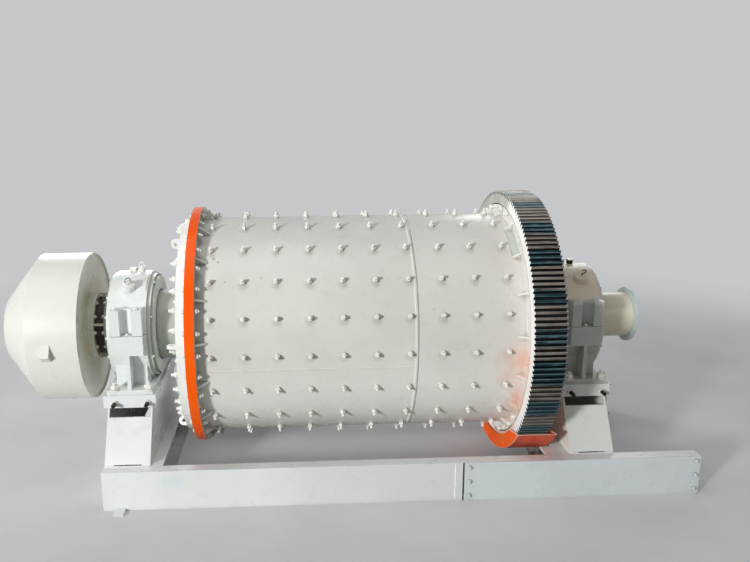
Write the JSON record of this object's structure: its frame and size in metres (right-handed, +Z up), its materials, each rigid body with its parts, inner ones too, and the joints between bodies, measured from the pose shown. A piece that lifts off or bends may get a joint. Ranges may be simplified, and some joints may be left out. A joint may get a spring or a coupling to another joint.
{
  "type": "ball mill",
  "caption": "Grinding mill: a bolted shell with a girth gear and drum feeder, turning in trunnion bearings on pedestals and a steel channel base.",
  "frame": {"origin": "middle of the whole object's box, at floor level under the base", "axes": "+X along the mill's axis towards the discharge end, +Y away from the side shown, +Z up"},
  "size_m": [4.646, 1.818, 1.9649],
  "materials": {
    "grey_paint": "satin",
    "warm_paint": "satin",
    "orange_paint": "gloss",
    "red_primer": "matt",
    "gear_steel": "machined",
    "dark_steel": "rough"
  },
  "bodies": {
    "frame": {"feed_bearing_base": "grey_paint", "feed_bearing_cap": "grey_paint", "feed_bearing_outer_cover": "grey_paint", "feed_bearing_inner_cover": "grey_paint", "discharge_bearing_base": "grey_paint", "discharge_bearing_cap": "grey_paint", "discharge_bearing_outer_cover": "grey_paint", "discharge_bearing_inner_cover": "grey_paint", "cap_fittings": "grey_paint", "feed_sole_plate": "grey_paint", "discharge_sole_plate": "grey_paint", "feed_pedestal": "grey_paint", "discharge_pedestal": "grey_paint", "base_front_beam": "grey_paint", "base_rear_beam": "grey_paint", "base_splice_strips": "grey_paint", "base_cover_plate": "grey_paint", "feed_cross_members": "grey_paint", "discharge_cross_members": "grey_paint", "base_corner_plates": "grey_paint", "anchor_lugs": "grey_paint", "gear_guard": "red_primer", "gear_guard_legs": "grey_paint"},
    "drum": {"shell_feed_course": "grey_paint", "shell_drive_course": "grey_paint", "feed_flange": "orange_paint", "feed_flange_ribs": "grey_paint", "drive_flange": "grey_paint", "drive_flange_ribs": "grey_paint", "feed_head": "grey_paint", "discharge_head": "grey_paint", "feed_trunnion": "grey_paint", "discharge_trunnion": "grey_paint", "girth_gear_front_half": "gear_steel", "girth_gear_rear_half": "gear_steel", "feeder_drum": "warm_paint", "feeder_cone": "warm_paint", "feeder_inlet_ring": "warm_paint", "feeder_back_plate": "warm_paint", "feeder_hub_flange": "warm_paint", "feeder_neck": "dark_steel", "feeder_lug": "warm_paint", "spout": "grey_paint", "spout_joint_flange": "grey_paint", "spout_end_flange": "grey_paint"}
  },
  "joints": [
    {"name": "drum_spin", "type": "hinge", "parent": "frame", "child": "drum", "pos_m": [0, 0, 1.056], "axis": [1, 0, 0], "continuous": true}
  ]
}
